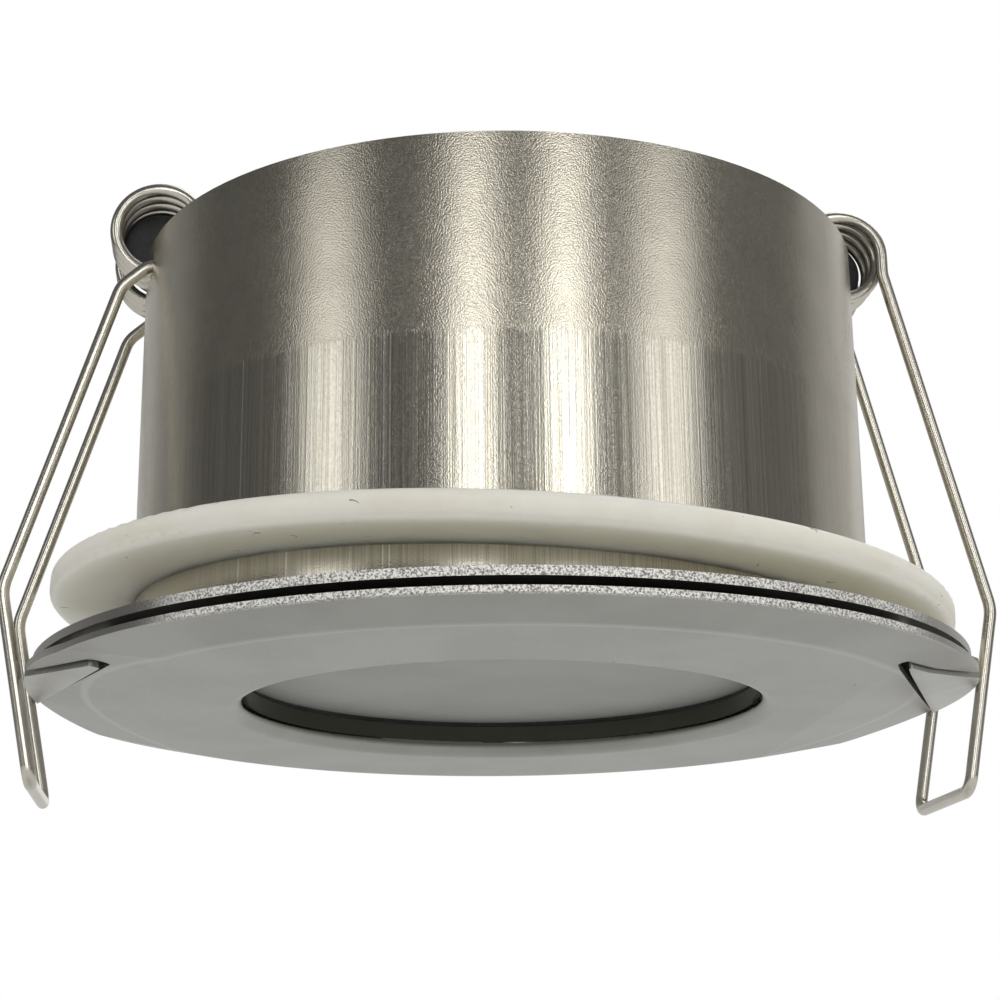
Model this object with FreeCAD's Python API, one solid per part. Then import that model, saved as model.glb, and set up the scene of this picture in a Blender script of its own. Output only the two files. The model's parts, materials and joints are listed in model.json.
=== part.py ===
import FreeCAD, Part
import math
import os

from FreeCAD import Vector

# Recessed soffit downlight, in millimetres. +Z points up into the ceiling.
# The origin is on the can's axis, at the top of the flange that the ceiling rests on.

# ---- driving dimensions -------------------------------------------------
can_wall = 0.8           # sheet of the can and its flange
can_height = 40.7        # rim of the can above the flange
flange_width = 9.0
corner_radius = 1.0      # where the wall turns out into the flange

bezel_overhang = 0.6     # of the bezel beyond the flange
bezel_sheet = 0.65
bezel_gap = 0.9          # between flange and bezel at the front and back
band_width = 5.5         # sloping outer band of the bezel's face
band_rise = 1.2
rim_ease = 0.12          # of the bezel's sheared rim
end_bow_radius = 250.0   # of the bezel's left and right ends, which rise to meet the flange
opening_radius = 24.8    # the can's radius follows from this one
collar_height = 3.15     # drawn collar round the opening
collar_wall = 0.7
lip_radius = 1.5

notch_depth = 4.6        # of the pointed notches at the left and right of the bezel
# per notch: degrees from the X axis of front corner, tip and back corner; widths of its tip and its key's tip
notches = {
    "left": (-10.5, -27.0, 9.0, 2.0, 1.0),
    "right": (-21.0, -39.5, 7.0, 0.9, 0.3),
}
key_front_gap = 1.2      # of a key at its notch's front corner
key_tip_gap = 1.4
key_gap = 0.5            # at the notch's inner and back edges
key_proud = 0.35         # of a key below the bezel
tip_rounding = 0.45      # of a tip's width

gasket_inset = 1.2       # of the gasket's edge from the flange's
gasket_thick = 2.6
gasket_lift = 4.3        # the loose washer sits this far above the flange
gasket_tilt_y = 2.5      # degrees, left side higher
gasket_tilt_x = 0.8      # degrees, back slightly higher
gasket_round = 0.8

glass_overlap = 4.1      # of the glass beyond the opening
glass_thick = 3.0
glass_round = 0.25
seal_thick = 0.5
seal_inset = 0.5         # of the seals from the glass's edge
clamp_ring_thick = 1.6
stud_radius = 1.5
stud_count = 3
stud_spare = 0.8         # of a stud beyond its nut

reflector_wall = 1.0
reflector_margin = 1.2   # of the reflector's mouth beyond the opening
reflector_lip = 1.2
reflector_throat_radius = 13.5
board_thick = 1.5
board_rim = 0.5          # of the light board beyond its screws' heads
board_screw_turn = 30.0  # degrees
pad_thick = 0.5
pad_inset = 0.5
led_size = 3.0
led_height = 0.7
led_count = 6            # round one in the middle
led_circle = 8.0
lead_radius = 0.7
lead_offset = 3.0        # of the two leads outside the reflector's throat
lead_spacing = 4.0

sink_base = 4.5
sink_skirt_wall = 1.4
fin_count = 24
fin_thick = 1.2
fin_drop = 3.2           # of the fins' tops below the skirt's
fin_inner_radius = 19.0
pillar_radius = 3.0
pillar_circle = 24.0
pillar_bore = 7.0        # depth of the screw holes in the pillars
cover_thick = 1.2
cover_seal_thick = 0.8

driver_radius = 16.5
driver_standoff = 2.0
driver_thick = 1.6
driver_screw_inset = 3.3
standoff_radius = 2.6
terminal_width = 10.0
terminal_depth = 5.0
terminal_height = 5.5
terminal_inset = 1.6     # of the terminal block from the board's edge
terminal_floor = 1.5     # under the terminal screws
terminal_screw_radius = 1.5
terminal_screw_sink = 0.6
terminal_headroom = 1.9  # between the terminal block and the rear cover
capacitor_radius = 1.8
capacitor_length = 9.0
capacitor_y = 8.2
capacitor_round = 0.4
inductor_width = 5.0
inductor_length = 6.0
inductor_height = 3.0
inductor_inset = 2.6     # of the inductor from the board's edge
inductor_y = 1.0
inductor_round = 0.5

screw_radius = 1.5       # M3 everywhere
screw_head_radius = 2.75
screw_head_height = 1.6
screw_slot = 0.7
screw_bite = 3.0         # of the light board's screws in the heat sink
cover_screw_bite = 5.0
nut_across = 5.5
nut_height = 2.4
washer_radius = 3.1
washer_thick = 0.5

gland_thread_radius = 6.0
gland_across = 16.0
gland_bore = 4.2
gland_hex_height = 3.5
gland_wall = 1.0         # round the cable bush
gland_washer_thick = 0.8
gland_washer_inset = 0.2
gland_thread_spare = 1.2 # of the thread below the locknut
gland_cap_hex = 5.0      # height of the cap's six sides
gland_cap_crown = 2.6    # of the cap above the gland's body
gland_cap_round = 1.6
gland_cap_inset = 0.3    # of the cap's crown inside its six sides
gland_cap_lift = 0.4     # of the cap above the body's six sides
cable_radius = 3.3
bush_length = 6.8
bush_nose = 2.0          # of the bush's lower end, down inside the gland's bore
bush_crown = 1.3         # of the bush's upper end, up inside the cap
locknut_height = 3.5
locknut_across = 15.0

wire_diameter = 1.2
coil_diameter = 9.6      # outside
coil_axis_inset = 1.4    # of the two clip axes from the can's outside
coil_axis_rise = 1.9     # of the clip axes above the can's rim
quarters_per_half = 15   # quarter turns in each half of the winding
coil_split = 0.9         # between the cut ends in the middle of the winding
leg_spacing = 14.8
exit_run = 0.9           # of the wire along the winding's bottom before it turns down
exit_bend = 1.8
shoulder_out = 3.4       # of the leg's shoulder outside the winding's axis
shoulder_drop = 2.2      # of the shoulder below the winding
shoulder_bend = 3.0
knee_clear = 1.3         # of the leg's knee outside the bezel's rim
knee_height = 6.1
knee_bend = 4.0
loop_inset = 2.1         # of the loop's end inside the bezel's rim
loop_drop = 11.5         # of the loop's end below the flange
loop_bend = 1.4
outer_exit_drop = 2.0    # of the right clip's leg straight down from its winding's outer side

# ---- named clearances ---------------------------------------------------
running_gap = 0.3        # between a turning clip and the can
slip_gap = 0.05          # a pushed fit
hole_gap = 0.2           # round a screw or stud
lead_gap = 0.3           # round a lead
stud_gap = 0.6           # between the glass's edge and the studs
washer_gap = 0.5         # between the studs' washers and the can's wall
clamp_gap = 0.6          # between the clamp ring and the can's wall
cover_gap = 1.0          # between the rear cover and the clips' windows
cap_gap = 0.3            # between the cap's inside and the end of the gland's body
bush_gap = 0.2           # between the bush and the end of the gland's body
cable_gap = 0.8          # between the cable and the cap
past = 1.0               # how far a cutting shape runs past what it cuts
root = 0.5               # how far a fin runs into what it grows from

# ---- radii that follow --------------------------------------------------
glass_radius = opening_radius + glass_overlap
stud_circle = glass_radius + stud_gap + stud_radius
can_inner = stud_circle + washer_radius + washer_gap
can_radius = can_inner + can_wall
flange_radius = can_radius + flange_width
bezel_radius = flange_radius + bezel_overhang
band_start = bezel_radius - band_width
gasket_radius = flange_radius - gasket_inset
collar_radius = opening_radius + collar_wall
seal_inner_radius = opening_radius + collar_wall / 2
seal_outer_radius = glass_radius - seal_inset
reflector_mouth_radius = opening_radius + reflector_margin
coil_axis_radius = can_radius - coil_axis_inset
coil_mean = (coil_diameter - wire_diameter) / 2
knee_reach = bezel_radius + knee_clear + wire_diameter / 2
loop_reach = bezel_radius - loop_inset + wire_diameter / 2

# ---- levels -------------------------------------------------------------
# the glass and its clamp stack up from the bezel
flange_under = -can_wall
bezel_top = flange_under - bezel_gap
bezel_bottom = bezel_top - bezel_sheet
face_z = bezel_bottom - band_rise
collar_top = face_z + collar_height
glass_bottom = collar_top + seal_thick
glass_top = glass_bottom + glass_thick
ring_bottom = glass_top + seal_thick
ring_top = ring_bottom + clamp_ring_thick

# the rear cover sits below the clips' windows, and the light's insides hang from it
coil_axis_z = can_height + coil_axis_rise
window_bottom = coil_axis_z - coil_diameter / 2 - 2 * running_gap
cover_top = window_bottom - cover_gap
cover_bottom = cover_top - cover_thick
skirt_top = cover_bottom - cover_seal_thick
driver_top = cover_bottom - terminal_headroom - terminal_height
driver_bottom = driver_top - driver_thick
sink_top = driver_bottom - driver_standoff
sink_bottom = sink_top - sink_base
board_top = sink_bottom - pad_thick
board_bottom = board_top - board_thick

# the reflector takes up the height that is left, and the light board's screws stand outside its cone
reflector_height = board_bottom - ring_top
cone_slope = (reflector_mouth_radius - reflector_throat_radius) / (reflector_height - reflector_wall)
cone_at_heads = reflector_throat_radius + reflector_wall + cone_slope * screw_head_height
board_screw_circle = cone_at_heads + screw_head_radius + hole_gap
board_radius = board_screw_circle + screw_head_radius + board_rim

UP = Vector(0, 0, 1)
ORIGIN = Vector(0, 0, 0)
parts = {}


def disc(radius, low, high, x=0.0, y=0.0):
    return Part.makeCylinder(radius, high - low, Vector(x, y, low))


def ring(inner, outer, low, high, x=0.0, y=0.0):
    return disc(outer, low, high, x, y).cut(disc(inner, low - past, high + past, x, y))


def turned(profile):
    # a solid of revolution from (radius, height) corners
    corners = [Vector(r, 0, z) for r, z in profile]
    face = Part.Face(Part.makePolygon(corners + corners[:1]))
    return face.revolve(ORIGIN, UP, 360)


def rounded(solid, radius, edge_radius, height):
    # fillets the circular edge of this radius at this height
    edges = [e for e in solid.Edges
             if isinstance(e.Curve, Part.Circle)
             and abs(e.Curve.Radius - edge_radius) < 1e-4
             and abs(e.Curve.Center.z - height) < 1e-4]
    return solid.makeFillet(radius, edges)


def hex_prism(across, low, high, x=0.0, y=0.0):
    reach = across / math.sqrt(3)
    corners = [Vector(x + reach * math.cos(math.radians(60 * i)),
                      y + reach * math.sin(math.radians(60 * i)), low) for i in range(7)]
    return Part.Face(Part.makePolygon(corners)).extrude(Vector(0, 0, high - low))


def on_circle(count, radius, start=90.0):
    angles = [math.radians(start + 360.0 * i / count) for i in range(count)]
    return [(radius * math.cos(a), radius * math.sin(a)) for a in angles]


def joined(solids):
    whole = solids[0]
    for solid in solids[1:]:
        whole = whole.fuse(solid)
    return whole.removeSplitter()


def pan_screw(x, y, seat, length, upward):
    # a pan head on its seat, with the shank running the other way
    sign = 1 if upward else -1
    head = disc(screw_head_radius, min(seat, seat + sign * screw_head_height),
                max(seat, seat + sign * screw_head_height), x, y)
    shank_end = seat - sign * length
    shank = disc(screw_radius, min(seat, shank_end), max(seat, shank_end), x, y)
    tip = seat + sign * screw_head_height
    slot_depth = sign * screw_head_height / 2
    slot = Part.makeBox(2 * (screw_head_radius + past), screw_slot, abs(slot_depth),
                        Vector(x - screw_head_radius - past, y - screw_slot / 2, min(tip, tip - slot_depth)))
    return head.cut(slot).fuse(shank)


# ---- the bezel's surface and the keys in its notches ---------------------
def above_face(lift, reach, top):
    # what lies above the bezel's lower surface, raised by lift, out to this radius
    slope = band_rise / band_width
    edge_z = face_z + lift + slope * (reach - band_start)
    body = turned([(0, face_z + lift), (band_start, face_z + lift),
                   (reach - rim_ease, edge_z - slope * rim_ease), (reach, edge_z + rim_ease),
                   (reach, top), (0, top)])
    # a long cylinder along Y, whose underside is the raised ends
    end_z = bezel_bottom + bezel_gap + lift
    middle_z = end_z + math.sqrt(end_bow_radius ** 2 - bezel_radius ** 2)
    length = 2 * (reach + past)
    bow = Part.makeCylinder(end_bow_radius, length, Vector(0, -length / 2, middle_z), Vector(0, 1, 0))
    return body.common(bow)


def notch_prism(side, key=False):
    # a notch's outline, or that of the key in it with the key's gaps, from below to above the bezel
    front, tip, back, tip_width, key_tip_width = notches[side]
    inner = bezel_radius - notch_depth
    if key:
        inner += key_gap
        front += math.degrees(key_front_gap / bezel_radius)
        tip += math.degrees(key_tip_gap / inner)
        back -= math.degrees(key_gap / bezel_radius)
        tip_width = key_tip_width
    low = face_z - key_proud - past

    def at(radius, turn):
        return Vector(radius * math.cos(math.radians(turn)), radius * math.sin(math.radians(turn)), low)

    def beyond(start, end):
        return end + (end - start).normalize() * (4 * past)

    tip_ends = [at(inner + tip_width, tip), at(inner, tip)]
    corners = [beyond(tip_ends[0], at(bezel_radius, front)), *tip_ends,
               beyond(tip_ends[1], at(bezel_radius, back)), at(bezel_radius + 4 * past, (front + back) / 2)]
    prism = Part.Face(Part.makePolygon(corners + corners[:1])).extrude(Vector(0, 0, past - low))
    uprights = [e for e in prism.Edges
                if any(all(math.hypot(v.X - p.x, v.Y - p.y) < 1e-6 for v in e.Vertexes) for p in tip_ends)]
    prism = prism.makeFillet(tip_rounding * tip_width, uprights)
    return prism if side == "right" else prism.mirror(ORIGIN, Vector(1, 0, 0))


def both_sides(solid):
    return [solid, solid.rotated(ORIGIN, UP, 180)]


# ---- can with its flange ------------------------------------------------
def make_can():
    can = turned([(can_inner, flange_under), (flange_radius, flange_under), (flange_radius, 0),
                  (can_radius + corner_radius, 0), (can_radius, corner_radius),
                  (can_radius, can_height), (can_inner, can_height)])

    # each key is pressed down out of the flange, just past the bezel
    pressed = above_face(-key_proud, bezel_radius, flange_under + can_wall / 2)
    for side in notches:
        can = can.fuse(notch_prism(side, key=True).common(pressed))

    # the winding threads a window under a strip of the rim
    bore = coil_diameter / 2 - wire_diameter
    strip_reach = can_radius - coil_axis_radius
    strip_bottom = coil_axis_z - math.sqrt((bore - running_gap) ** 2 - strip_reach ** 2)
    window_half = leg_spacing / 2 + wire_diameter / 2 + running_gap
    window = Part.makeBox(can_radius, 2 * window_half, strip_bottom - window_bottom,
                          Vector(can_radius / 2, -window_half, window_bottom))
    for opening in both_sides(window):
        can = can.cut(opening)
    return can.removeSplitter()


# ---- bezel, glass and what clamps it ------------------------------------
def make_bezel():
    sheet = above_face(0, bezel_radius, flange_under).cut(above_face(bezel_sheet, bezel_radius + past, past))
    sheet = sheet.cut(disc(opening_radius, face_z - past, past))
    bezel = joined([sheet, ring(opening_radius, collar_radius, face_z, collar_top)])
    bezel = rounded(bezel, lip_radius, opening_radius, face_z)
    bezel = rounded(bezel, lip_radius - bezel_sheet, collar_radius, face_z + bezel_sheet)
    for side in notches:
        bezel = bezel.cut(notch_prism(side))
    return bezel


def make_glass_stack():
    studs = []
    washers = []
    nuts = []
    clamp = ring(collar_radius, can_inner - clamp_gap, ring_bottom, ring_top)
    for x, y in on_circle(stud_count, stud_circle):
        washer_top = ring_top + washer_thick
        stud_top = washer_top + nut_height + stud_spare
        studs.append(disc(stud_radius, face_z + bezel_sheet, stud_top, x, y))
        clamp = clamp.cut(disc(stud_radius + hole_gap, ring_bottom - past, ring_top + past, x, y))
        washers.append(ring(stud_radius + slip_gap, washer_radius, ring_top, washer_top, x, y))
        nut = hex_prism(nut_across, washer_top, washer_top + nut_height, x, y)
        nuts.append(nut.cut(disc(stud_radius + slip_gap, ring_top, stud_top + past, x, y)))
    glass = disc(glass_radius, glass_bottom, glass_top)
    glass = rounded(glass, glass_round, glass_radius, glass_bottom)
    parts["front_glass"] = glass
    parts["front_glass_seal"] = ring(seal_inner_radius, seal_outer_radius, collar_top, glass_bottom)
    parts["rear_glass_seal"] = ring(reflector_mouth_radius, seal_outer_radius, glass_top, ring_bottom)
    parts["glass_clamp_ring"] = clamp
    parts["clamp_studs"] = Part.makeCompound(studs)
    parts["clamp_washers"] = Part.makeCompound(washers)
    parts["clamp_nuts"] = Part.makeCompound(nuts)


def make_gasket():
    gasket = disc(gasket_radius, 0, gasket_thick)
    gasket = rounded(gasket, gasket_round, gasket_radius, 0)
    gasket = rounded(gasket, gasket_round, gasket_radius, gasket_thick)
    gasket.rotate(ORIGIN, Vector(0, 1, 0), gasket_tilt_y)
    gasket.rotate(ORIGIN, Vector(1, 0, 0), gasket_tilt_x)
    gasket.translate(Vector(0, 0, gasket_lift))
    box = gasket.BoundBox
    return gasket.cut(disc(can_radius + slip_gap, box.ZMin - past, box.ZMax + past))


# ---- light source -------------------------------------------------------
def make_light_source():
    mouth = reflector_mouth_radius
    throat = reflector_throat_radius
    parts["reflector"] = turned([
        (mouth, ring_top), (mouth + reflector_lip, ring_top),
        (mouth + reflector_lip, ring_top + reflector_wall),
        (mouth + reflector_wall, ring_top + reflector_wall),
        (throat + reflector_wall, board_bottom), (throat, board_bottom)])

    board_screws = on_circle(3, board_screw_circle, board_screw_turn)
    lead_spots = [(x, -(throat + lead_offset)) for x in (-lead_spacing / 2, lead_spacing / 2)]
    board = disc(board_radius, board_bottom, board_top)
    pad = disc(board_radius - pad_inset, board_top, sink_bottom)
    screws = []
    for x, y in board_screws:
        hole = disc(screw_radius + hole_gap, board_bottom - past, sink_bottom + past, x, y)
        board = board.cut(hole)
        pad = pad.cut(hole)
        screws.append(pan_screw(x, y, board_bottom, board_thick + pad_thick + screw_bite, False))
    for x, y in lead_spots:
        pad = pad.cut(disc(lead_radius + lead_gap, board_top - past, sink_bottom + past, x, y))
    leds = []
    for x, y in [(0.0, 0.0)] + on_circle(led_count, led_circle):
        leds.append(Part.makeBox(led_size, led_size, led_height,
                                 Vector(x - led_size / 2, y - led_size / 2, board_bottom - led_height)))
    parts["led_board"] = board
    parts["led_chips"] = Part.makeCompound(leds)
    parts["led_board_screws"] = Part.makeCompound(screws)
    parts["thermal_pad"] = pad

    # heat sink: a cup pushed into the can, with radial fins and three pillars for the cover
    sink_radius = can_inner - slip_gap
    skirt_inner = sink_radius - sink_skirt_wall
    pieces = [disc(sink_radius, sink_bottom, sink_top),
              ring(skirt_inner, sink_radius, sink_bottom, skirt_top)]
    fin_length = skirt_inner - fin_inner_radius + root
    fin_height = skirt_top - fin_drop - sink_top + root
    for i in range(fin_count):
        fin = Part.makeBox(fin_length, fin_thick, fin_height,
                           Vector(fin_inner_radius, -fin_thick / 2, sink_top - root))
        pieces.append(fin.rotated(ORIGIN, UP, (i + 0.5) * 360.0 / fin_count))
    pillars = on_circle(3, pillar_circle)
    for x, y in pillars:
        pieces.append(disc(pillar_radius, sink_bottom, cover_bottom, x, y))
    sink = joined(pieces)
    for x, y in pillars:
        sink = sink.cut(disc(screw_radius + slip_gap, cover_bottom - pillar_bore, cover_bottom + past, x, y))
    for x, y in board_screws:
        sink = sink.cut(disc(screw_radius + slip_gap, sink_bottom - past, sink_bottom + screw_bite + root, x, y))
    for x, y in lead_spots:
        sink = sink.cut(disc(lead_radius + lead_gap, sink_bottom - past, sink_top + past, x, y))
    parts["heat_sink"] = sink

    # two leads run straight through the heat sink to the light board
    parts["led_leads"] = Part.makeCompound(
        [disc(lead_radius, board_top, driver_bottom, x, y) for x, y in lead_spots])


# ---- driver -------------------------------------------------------------
def make_driver():
    board = disc(driver_radius, driver_bottom, driver_top)
    standoffs = []
    screws = []
    for x, y in on_circle(3, driver_radius - driver_screw_inset):
        board = board.cut(disc(screw_radius + hole_gap, driver_bottom - past, driver_top + past, x, y))
        standoffs.append(ring(screw_radius + slip_gap, standoff_radius, sink_top, driver_bottom, x, y))
        screws.append(pan_screw(x, y, driver_top, driver_thick + driver_standoff, True))
    parts["driver_board"] = board
    parts["driver_standoffs"] = Part.makeCompound(standoffs)
    parts["driver_screws"] = Part.makeCompound(screws)

    # two-way terminal block at the front edge of the board, outside the gland's nut
    corner = Vector(-terminal_width / 2, terminal_inset - driver_radius, driver_top)
    block = Part.makeBox(terminal_width, terminal_depth, terminal_height, corner)
    seat = driver_top + terminal_floor
    block_top = driver_top + terminal_height
    y = corner.y + terminal_depth / 2
    screws = []
    for x in (-terminal_width / 4, terminal_width / 4):
        block = block.cut(disc(terminal_screw_radius + slip_gap, seat, block_top + past, x, y))
        screws.append(disc(terminal_screw_radius, seat, block_top - terminal_screw_sink, x, y))
    parts["terminal_block"] = block
    parts["terminal_screws"] = Part.makeCompound(screws)

    # a smoothing capacitor lying down and a square inductor
    capacitor = Part.makeCylinder(capacitor_radius, capacitor_length,
                                  Vector(-capacitor_length / 2, capacitor_y, driver_top + capacitor_radius),
                                  Vector(1, 0, 0))
    parts["driver_capacitor"] = capacitor.makeFillet(capacitor_round, capacitor.Edges)
    inductor = Part.makeBox(inductor_width, inductor_length, inductor_height,
                            Vector(inductor_inset - driver_radius, inductor_y, driver_top))
    uprights = [e for e in inductor.Edges if abs(e.Vertexes[0].Z - e.Vertexes[1].Z) > inductor_round]
    parts["driver_inductor"] = inductor.makeFillet(inductor_round, uprights)


# ---- rear cover and cable gland -----------------------------------------
def make_rear():
    cover = disc(can_inner - slip_gap, cover_bottom, cover_top)
    cover = cover.cut(disc(gland_thread_radius + hole_gap, cover_bottom - past, cover_top + past))
    screws = []
    for x, y in on_circle(3, pillar_circle):
        cover = cover.cut(disc(screw_radius + hole_gap, cover_bottom - past, cover_top + past, x, y))
        screws.append(pan_screw(x, y, cover_top, cover_thick + cover_screw_bite, True))
    parts["rear_cover"] = cover
    parts["rear_cover_screws"] = Part.makeCompound(screws)
    parts["rear_cover_seal"] = ring(can_inner - sink_skirt_wall, can_inner - slip_gap,
                                    skirt_top, cover_bottom)

    # the gland's body, with a cup at its top for the bush
    hex_low = cover_top + gland_washer_thick
    hex_high = hex_low + gland_hex_height
    cup_low = hex_high - gland_wall
    bush_top = cup_low + bush_length
    body_top = bush_top + bush_gap
    thread_low = cover_bottom - locknut_height - gland_thread_spare
    cup_radius = gland_thread_radius - gland_wall
    body = joined([disc(gland_thread_radius, thread_low, hex_high),
                   hex_prism(gland_across, hex_low, hex_high),
                   disc(gland_thread_radius, hex_high, body_top)])
    body = body.cut(disc(gland_bore, thread_low - past, body_top + past))
    body = body.cut(disc(cup_radius, cup_low, body_top + past))

    # the cap, domed, with a hole for the cable
    cap_low = hex_high + gland_cap_lift
    cap_top = body_top + gland_cap_crown
    crown_radius = gland_across / 2 - gland_cap_inset
    cap = joined([hex_prism(gland_across, cap_low, cap_low + gland_cap_hex),
                  disc(crown_radius, cap_low, cap_top)])
    cap = rounded(cap, gland_cap_round, crown_radius, cap_top)
    cap = cap.cut(disc(gland_thread_radius + slip_gap, hex_high, body_top + cap_gap))
    cap_hole = cable_radius + cable_gap
    cap = cap.cut(disc(cap_hole, body_top - past, cap_top + past))

    # the bush fills the cup, with a nose down in the bore and a crown up in the cap
    bush = joined([disc(gland_bore - slip_gap, cup_low - bush_nose, cup_low),
                   disc(cup_radius - slip_gap, cup_low, bush_top),
                   disc(cap_hole - hole_gap, bush_top, bush_top + bush_crown)])
    bush = bush.cut(disc(cable_radius, cup_low - bush_nose - past, bush_top + bush_crown + past))

    nut = hex_prism(locknut_across, cover_bottom - locknut_height, cover_bottom)
    nut = nut.cut(disc(gland_thread_radius + slip_gap, cover_bottom - locknut_height - past, cover_top))
    parts["gland_body"] = body
    parts["gland_washer"] = ring(gland_thread_radius + slip_gap, gland_across / 2 - gland_washer_inset,
                                 cover_top, hex_low)
    parts["gland_locknut"] = nut
    parts["gland_bush"] = bush
    parts["gland_cap"] = cap
    print("cable bore from %.2f to %.2f" % (cup_low - bush_nose, bush_top + bush_crown))


# ---- spring clips -------------------------------------------------------
def arc_from(start, tangent, end):
    # the arc that leaves start along tangent and reaches end
    chord = end - start
    along = chord.dot(tangent) / (chord.Length * tangent.Length)
    angle = math.acos(max(-1.0, min(1.0, along)))
    side = tangent - chord * (tangent.dot(chord) / chord.dot(chord))
    if side.Length < 1e-9:
        return Part.LineSegment(start, end)
    side.normalize()
    middle = (start + end) * 0.5 + side * (chord.Length / 2 * math.tan(angle / 2))
    return Part.Arc(start, middle, end)


def biarc(start, start_dir, end, end_dir):
    chord = end - start
    both = start_dir + end_dir
    bend = 2 * (1 - start_dir.dot(end_dir))
    reach = chord.dot(both)
    length = (-reach + math.sqrt(reach ** 2 + bend * chord.dot(chord))) / bend
    control_a = start + start_dir * length
    control_b = end - end_dir * length
    middle = (control_a + control_b) * 0.5
    middle_dir = (control_b - control_a).normalize()
    return [arc_from(start, start_dir, middle), arc_from(middle, middle_dir, end)]


def bent(points, radii):
    # straight runs through the points with an arc at each inner corner
    path = []
    last = points[0]
    for i, radius in enumerate(radii, 1):
        corner = points[i]
        into = (corner - points[i - 1]).normalize()
        out = (points[i + 1] - corner).normalize()
        turn = into.getAngle(out)
        cut = radius * math.tan(turn / 2)
        start = corner - into * cut
        end = corner + out * cut
        path.append(Part.LineSegment(last, start))
        path.append(arc_from(start, into, end))
        last = end
    path.append(Part.LineSegment(last, points[-1]))
    return path


def clip_path(outer_exit):
    # one wire: a half winding, a leg, the loop, the other leg and its half winding (+X side)
    # the leg leaves outwards from the winding's bottom, or downwards from its outer side
    inner_y = coil_split / 2 + wire_diameter / 2
    outer_y = leg_spacing / 2
    climb = (outer_y - inner_y) / quarters_per_half
    last, sense = (0, -1) if outer_exit else (-90, 1)

    def helix(step):
        # quarter turns from the cut end (step 0) to where the leg leaves
        angle = math.radians(last + sense * 90 * (step - quarters_per_half))
        place = Vector(coil_axis_radius + coil_mean * math.cos(angle), inner_y + climb * step,
                       coil_axis_z + coil_mean * math.sin(angle))
        rate = 0 if step == quarters_per_half else climb / (math.pi / 2)
        heading = Vector(-sense * coil_mean * math.sin(angle), rate, sense * coil_mean * math.cos(angle))
        return place, heading.normalize()

    winding = []
    for step in range(quarters_per_half):
        start, start_dir = helix(step)
        end, end_dir = helix(step + 1)
        winding += biarc(start, start_dir, end, end_dir)

    def at(x, z, y=outer_y):
        return Vector(x, y, z)

    ends = [at(knee_reach, knee_height), at(loop_reach, -loop_drop), at(loop_reach, -loop_drop, 0)]
    if outer_exit:
        side_x = coil_axis_radius + coil_mean
        start = [at(side_x, coil_axis_z), at(side_x, coil_axis_z - outer_exit_drop)]
        bends = [shoulder_bend]
    else:
        coil_low = coil_axis_z - coil_mean
        start = [at(coil_axis_radius, coil_low), at(coil_axis_radius + exit_run, coil_low),
                 at(coil_axis_radius + shoulder_out, coil_low - shoulder_drop)]
        bends = [exit_bend, shoulder_bend]
    leg = bent(start + ends, bends + [knee_bend, loop_bend])
    half = winding + leg
    edges = [curve.toShape() for curve in half]
    mirrored = [edge.mirror(ORIGIN, Vector(0, 1, 0)) for edge in reversed(edges)]
    return edges + mirrored


def wire_gap(path):
    # least gap of the wire to itself, between points more than half a turn apart along it
    spacing = wire_diameter / 4
    points = path.discretize(Distance=spacing)
    apart = int(math.pi * coil_mean / spacing) + 1
    least = min(a.distanceToPoint(b) for i, a in enumerate(points) for b in points[i + apart:])
    return least - wire_diameter


def make_clip(outer_exit):
    path = Part.Wire(Part.__sortEdges__(clip_path(outer_exit)))
    first = path.OrderedEdges[0]
    start = path.OrderedVertexes[0].Point
    low, high = first.ParameterRange
    at_low = first.valueAt(low).distanceToPoint(start) < 1e-6
    heading = first.tangentAt(low if at_low else high)
    section = Part.Wire(Part.makeCircle(wire_diameter / 2, start, heading))
    clip = path.makePipeShell([section], True, False)
    expected = math.pi * (wire_diameter / 2) ** 2 * path.Length
    print("clip wire %.1f long, least gap to itself %.3f, volume ratio %.4f"
          % (path.Length, wire_gap(path), clip.Volume / expected))
    print("clip axis at %.3f %.3f" % (coil_axis_radius, coil_axis_z))
    return clip


# ---- build --------------------------------------------------------------
parts["can_shell"] = make_can()
parts["face_bezel"] = make_bezel()
make_glass_stack()
parts["ceiling_gasket"] = make_gasket()
make_light_source()
make_driver()
make_rear()
parts["left_spring_clip"] = make_clip(outer_exit=False).rotated(ORIGIN, UP, 180)
parts["right_spring_clip"] = make_clip(outer_exit=True)

os.makedirs("parts", exist_ok=True)
for name, shape in parts.items():
    shape.exportStep("parts/%s.step" % name)
    box = shape.BoundBox
    print("%-20s solids %d valid %s volume %9.2f  z %7.2f to %7.2f"
          % (name, len(shape.Solids), shape.isValid(), shape.Volume, box.ZMin, box.ZMax))
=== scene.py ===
import bpy
import bmesh
import json
import math
from mathutils import Matrix, Vector


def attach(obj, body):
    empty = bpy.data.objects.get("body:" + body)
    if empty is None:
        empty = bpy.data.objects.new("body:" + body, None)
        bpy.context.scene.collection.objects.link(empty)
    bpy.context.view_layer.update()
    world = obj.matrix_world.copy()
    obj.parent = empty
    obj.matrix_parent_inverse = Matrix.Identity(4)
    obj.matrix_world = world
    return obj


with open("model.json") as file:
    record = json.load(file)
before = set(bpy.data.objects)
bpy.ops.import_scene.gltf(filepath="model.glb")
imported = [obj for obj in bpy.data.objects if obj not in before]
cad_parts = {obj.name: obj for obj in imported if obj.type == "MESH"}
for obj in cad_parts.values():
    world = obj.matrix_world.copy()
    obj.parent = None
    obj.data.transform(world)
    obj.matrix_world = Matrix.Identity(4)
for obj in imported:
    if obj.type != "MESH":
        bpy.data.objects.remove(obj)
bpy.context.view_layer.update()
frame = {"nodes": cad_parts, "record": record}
nodes = frame["nodes"]
print("frame loaded:", len(nodes), "nodes")

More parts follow.
